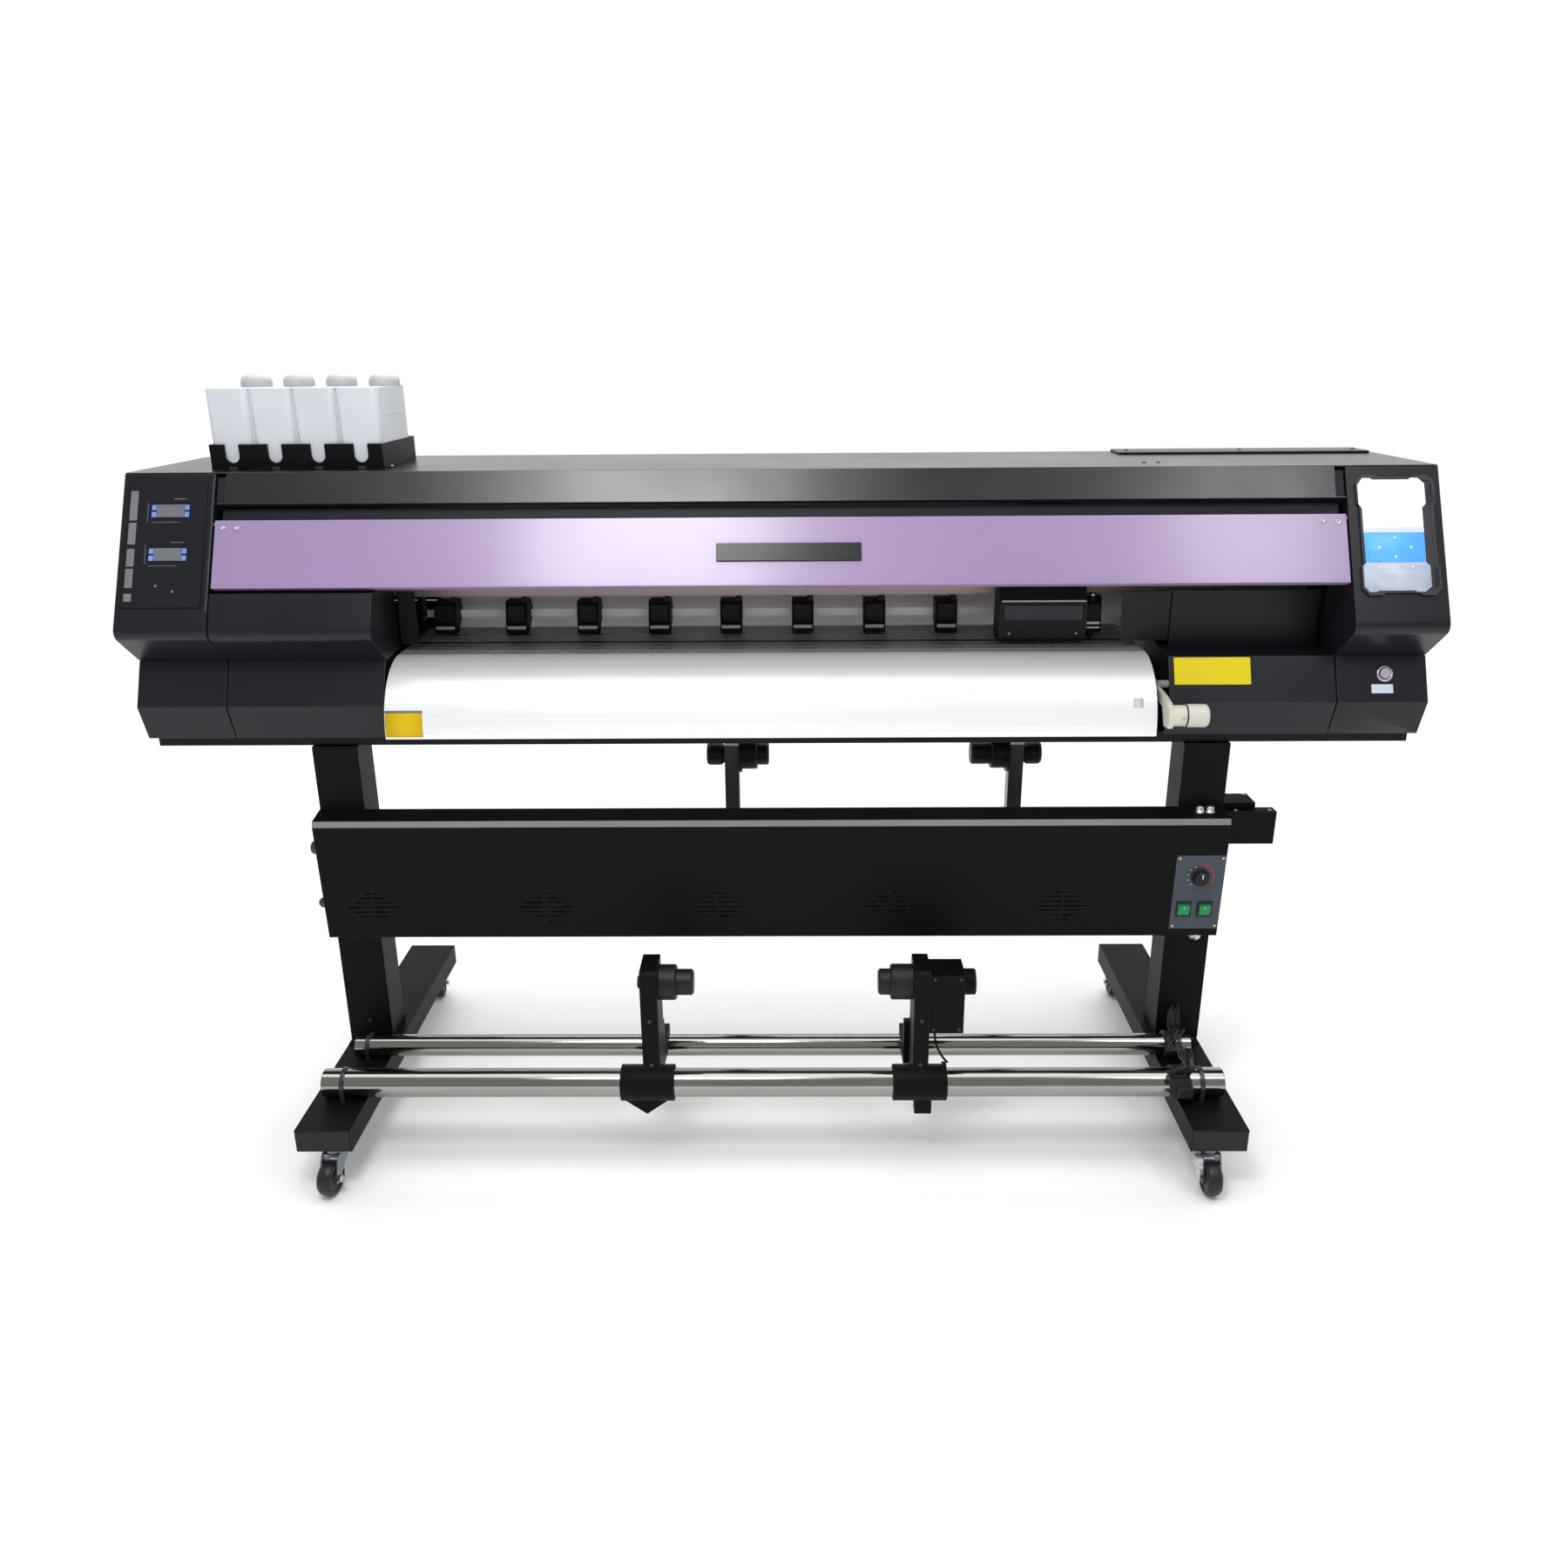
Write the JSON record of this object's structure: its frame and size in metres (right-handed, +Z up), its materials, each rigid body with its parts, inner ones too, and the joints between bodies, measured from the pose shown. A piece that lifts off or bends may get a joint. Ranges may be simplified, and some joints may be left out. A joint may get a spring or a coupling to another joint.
{
  "type": "wide format printer cutter",
  "caption": "Roll-to-roll wide-format printer and cutter on a wheeled stand, with hinged cover, moving carriage, pinch rollers, dryer, media supply and take-up.",
  "frame": {"origin": "on the floor, under the middle of the body's width and of the casters' front-to-back reach", "axes": "+X to the operator's right along the body, +Y to the rear, +Z up"},
  "size_m": [2.72, 0.935, 1.6438],
  "materials": {
    "black_paint": "satin powder coat, fine texture",
    "black_moulding": "satin black moulded plastic",
    "dark_inner": "matt dark paint",
    "steel_tube": "polished steel tube",
    "plain_steel": "satin steel",
    "beam_alloy": "matt anodised alloy",
    "platen_dark": "dark anodised plate",
    "platen_silver": "smooth silver sheet",
    "violet_cover": "satin violet panel",
    "cream_plastic": "cream plastic",
    "fork_grey": "grey zinc plated steel",
    "caster_tyre": "dark rubber tread",
    "black_rubber": "matt black",
    "tank_plastic": "milky translucent plastic",
    "cap_plastic": "milky white plastic",
    "button_metal": "polished metal button",
    "green_rocker": "glossy green",
    "panel_black": "smooth black panel",
    "plate_grey": "blue-grey plate"
  },
  "bodies": {
    "stand_and_body": {"left_foot": "black_paint", "right_foot": "black_paint", "left_leg": "black_paint", "right_leg": "black_paint", "stand_crossbeam": "black_paint", "stand_fasteners": "plain_steel", "takeup_rails": "steel_tube", "supply_rail_frame": "plain_steel", "dryer_housing": "black_paint", "dryer_switch_plate": "plate_grey", "junction_box": "black_paint", "base_frame": "dark_inner", "gantry_beam": "beam_alloy", "carriage_motor": "dark_inner", "print_platen": "platen_dark", "front_platen": "platen_silver", "roof_cover": "black_moulding", "left_tower_cover": "black_moulding", "right_tower_cover": "black_moulding", "left_lower_covers": "black_moulding", "right_lower_covers": "black_moulding", "left_media_cover": "black_moulding", "left_control_panel": "panel_black", "right_control_panel": "panel_black", "ink_rack": "black_paint", "ink_tanks": "tank_plastic"},
    "front_cover_body": {"front_cover": "violet_cover"},
    "carriage": {"carriage_base": "dark_inner", "carriage_cover": "black_moulding"},
    "cutter": {"cutter_holder": "dark_inner"},
    "grit_roller_body": {"grit_roller": "plain_steel"},
    "pinch_lever_body": {"pinch_lever": "cream_plastic"},
    "pinch_arms_body": {"pinch_arms": "black_paint"},
    "pinch_rollers_body": {"pinch_rollers": "black_rubber"},
    "capping_station_body": {"capping_station": "dark_inner"},
    "power_button_body": {"power_button": "button_metal"},
    "dryer_knob_body": {"dryer_knob": "black_moulding"},
    "dryer_left_rocker_body": {"dryer_left_rocker": "green_rocker"},
    "dryer_right_rocker_body": {"dryer_right_rocker": "green_rocker"},
    "takeup_left_arm_body": {"takeup_left_arm": "black_paint"},
    "takeup_left_hub_body": {"takeup_left_hub": "black_rubber"},
    "takeup_right_arm_body": {"takeup_right_arm": "black_paint", "takeup_motor": "black_paint"},
    "takeup_right_hub_body": {"takeup_right_hub": "black_rubber"},
    "supply_left_arm_body": {"supply_left_arm": "black_paint"},
    "supply_left_hub_body": {"supply_left_hub": "black_rubber"},
    "supply_right_arm_body": {"supply_right_arm": "black_paint"},
    "supply_right_hub_body": {"supply_right_hub": "black_rubber"},
    "caster_front_left": {"caster_fork_front_left": "fork_grey"},
    "wheel_front_left": {"caster_wheel_front_left": "caster_tyre"},
    "caster_front_right": {"caster_fork_front_right": "fork_grey"},
    "wheel_front_right": {"caster_wheel_front_right": "caster_tyre"},
    "caster_rear_left": {"caster_fork_rear_left": "fork_grey"},
    "wheel_rear_left": {"caster_wheel_rear_left": "caster_tyre"},
    "caster_rear_right": {"caster_fork_rear_right": "fork_grey"},
    "wheel_rear_right": {"caster_wheel_rear_right": "caster_tyre"},
    "ink_cap_1_body": {"ink_cap_1": "cap_plastic"},
    "ink_cap_2_body": {"ink_cap_2": "cap_plastic"},
    "ink_cap_3_body": {"ink_cap_3": "cap_plastic"},
    "ink_cap_4_body": {"ink_cap_4": "cap_plastic"}
  },
  "joints": [
    {"name": "front_cover_hinge", "type": "hinge", "parent": "stand_and_body", "child": "front_cover_body", "pos_m": [0, -0.02719, 1.35126], "axis": [-1, 0, 0], "range_deg": [0, 80]},
    {"name": "carriage_slide", "type": "slide", "parent": "stand_and_body", "child": "carriage", "axis": [1, 0, 0], "range_m": [-1.66, 0.44]},
    {"name": "cutter_slide", "type": "slide", "parent": "carriage", "child": "cutter", "axis": [0, 0, 1], "range_m": [-0.0025, 0], "stiffness_N_per_m": 2500, "springref_m": 0.002},
    {"name": "grit_roller_spin", "type": "hinge", "parent": "stand_and_body", "child": "grit_roller_body", "pos_m": [0, 0.212, 1.057], "axis": [1, 0, 0], "continuous": true},
    {"name": "pinch_lever_tilt", "type": "hinge", "parent": "stand_and_body", "child": "pinch_lever_body", "pos_m": [0.828, -0.02, 1], "axis": [-1, 0, 0], "range_deg": [0, 45]},
    {"name": "pinch_arms_lift", "type": "hinge", "parent": "stand_and_body", "child": "pinch_arms_body", "pos_m": [0, 0.262, 1.105], "axis": [-1, 0, 0], "range_deg": [0, 8]},
    {"name": "pinch_rollers_spin", "type": "hinge", "parent": "pinch_arms_body", "child": "pinch_rollers_body", "pos_m": [0, 0.212, 1.0728], "axis": [1, 0, 0], "continuous": true},
    {"name": "capping_slide", "type": "slide", "parent": "stand_and_body", "child": "capping_station_body", "axis": [0, 0, 1], "range_m": [0, 0.008]},
    {"name": "power_button_press", "type": "slide", "parent": "stand_and_body", "child": "power_button_body", "axis": [0, -0.9041, 0.4272], "range_m": [-0.003, 0], "stiffness_N_per_m": 600, "springref_m": 0.001},
    {"name": "dryer_knob_turn", "type": "hinge", "parent": "stand_and_body", "child": "dryer_knob_body", "pos_m": [0.921, -0.11438, 0.58803], "axis": [0, -0.9988, -0.0481], "range_deg": [-270, 0]},
    {"name": "dryer_left_rocker_tilt", "type": "hinge", "parent": "stand_and_body", "child": "dryer_left_rocker_body", "pos_m": [0.893, -0.11128, 0.50909], "axis": [1, 0, 0], "range_deg": [-16, 0]},
    {"name": "dryer_right_rocker_tilt", "type": "hinge", "parent": "stand_and_body", "child": "dryer_right_rocker_body", "pos_m": [0.939, -0.11128, 0.50909], "axis": [1, 0, 0], "range_deg": [-16, 0]},
    {"name": "takeup_left_arm_slide", "type": "slide", "parent": "stand_and_body", "child": "takeup_left_arm_body", "axis": [1, 0, 0], "range_m": [-0.55, 0.15]},
    {"name": "takeup_left_hub_spin", "type": "hinge", "parent": "takeup_left_arm_body", "child": "takeup_left_hub_body", "pos_m": [-0.259, -0.262, 0.411], "axis": [1, 0, 0], "continuous": true},
    {"name": "takeup_right_arm_slide", "type": "slide", "parent": "stand_and_body", "child": "takeup_right_arm_body", "axis": [1, 0, 0], "range_m": [-0.15, 0.45]},
    {"name": "takeup_right_hub_spin", "type": "hinge", "parent": "takeup_right_arm_body", "child": "takeup_right_hub_body", "pos_m": [0.283, -0.262, 0.411], "axis": [1, 0, 0], "continuous": true},
    {"name": "supply_left_arm_slide", "type": "slide", "parent": "stand_and_body", "child": "supply_left_arm_body", "axis": [1, 0, 0], "range_m": [-0.6, 0.15]},
    {"name": "supply_left_hub_spin", "type": "hinge", "parent": "supply_left_arm_body", "child": "supply_left_hub_body", "pos_m": [-0.104, 0.27, 0.752], "axis": [1, 0, 0], "continuous": true},
    {"name": "supply_right_arm_slide", "type": "slide", "parent": "stand_and_body", "child": "supply_right_arm_body", "axis": [1, 0, 0], "range_m": [-0.15, 0.24]},
    {"name": "supply_right_hub_spin", "type": "hinge", "parent": "supply_right_arm_body", "child": "supply_right_hub_body", "pos_m": [0.553, 0.27, 0.752], "axis": [1, 0, 0], "continuous": true},
    {"name": "caster_swivel_front_left", "type": "hinge", "parent": "stand_and_body", "child": "caster_front_left", "pos_m": [-0.9485, -0.392, 0.095], "axis": [0, 0, 1], "continuous": true},
    {"name": "wheel_roll_front_left", "type": "hinge", "parent": "caster_front_left", "child": "wheel_front_left", "pos_m": [-0.95379, -0.42963, 0.0375], "axis": [0.9903, -0.1392, 0], "continuous": true},
    {"name": "caster_swivel_front_right", "type": "hinge", "parent": "stand_and_body", "child": "caster_front_right", "pos_m": [0.9045, -0.392, 0.095], "axis": [0, 0, 1], "continuous": true},
    {"name": "wheel_roll_front_right", "type": "hinge", "parent": "caster_front_right", "child": "wheel_front_right", "pos_m": [0.9045, -0.43, 0.0375], "axis": [1, 0, 0], "continuous": true},
    {"name": "caster_swivel_rear_left", "type": "hinge", "parent": "stand_and_body", "child": "caster_rear_left", "pos_m": [-0.9485, 0.392, 0.095], "axis": [0, 0, 1], "continuous": true},
    {"name": "wheel_roll_rear_left", "type": "hinge", "parent": "caster_rear_left", "child": "wheel_rear_left", "pos_m": [-0.95379, 0.42963, 0.0375], "axis": [0.9903, 0.1392, 0], "continuous": true},
    {"name": "caster_swivel_rear_right", "type": "hinge", "parent": "stand_and_body", "child": "caster_rear_right", "pos_m": [0.9045, 0.392, 0.095], "axis": [0, 0, 1], "continuous": true},
    {"name": "wheel_roll_rear_right", "type": "hinge", "parent": "caster_rear_right", "child": "wheel_rear_right", "pos_m": [0.9045, 0.43, 0.0375], "axis": [1, 0, 0], "continuous": true},
    {"name": "ink_cap_1_lift", "type": "slide", "parent": "stand_and_body", "child": "ink_cap_1_body", "axis": [0, 0, 1], "range_m": [0, 0.04]},
    {"name": "ink_cap_2_lift", "type": "slide", "parent": "stand_and_body", "child": "ink_cap_2_body", "axis": [0, 0, 1], "range_m": [0, 0.04]},
    {"name": "ink_cap_3_lift", "type": "slide", "parent": "stand_and_body", "child": "ink_cap_3_body", "axis": [0, 0, 1], "range_m": [0, 0.04]},
    {"name": "ink_cap_4_lift", "type": "slide", "parent": "stand_and_body", "child": "ink_cap_4_body", "axis": [0, 0, 1], "range_m": [0, 0.04]}
  ],
  "couplings": [
    {"joint": "pinch_arms_lift", "follows": "pinch_lever_tilt", "ratio": 0.1777},
    {"joint": "pinch_rollers_spin", "follows": "grit_roller_spin", "ratio": -1.0667}
  ]
}
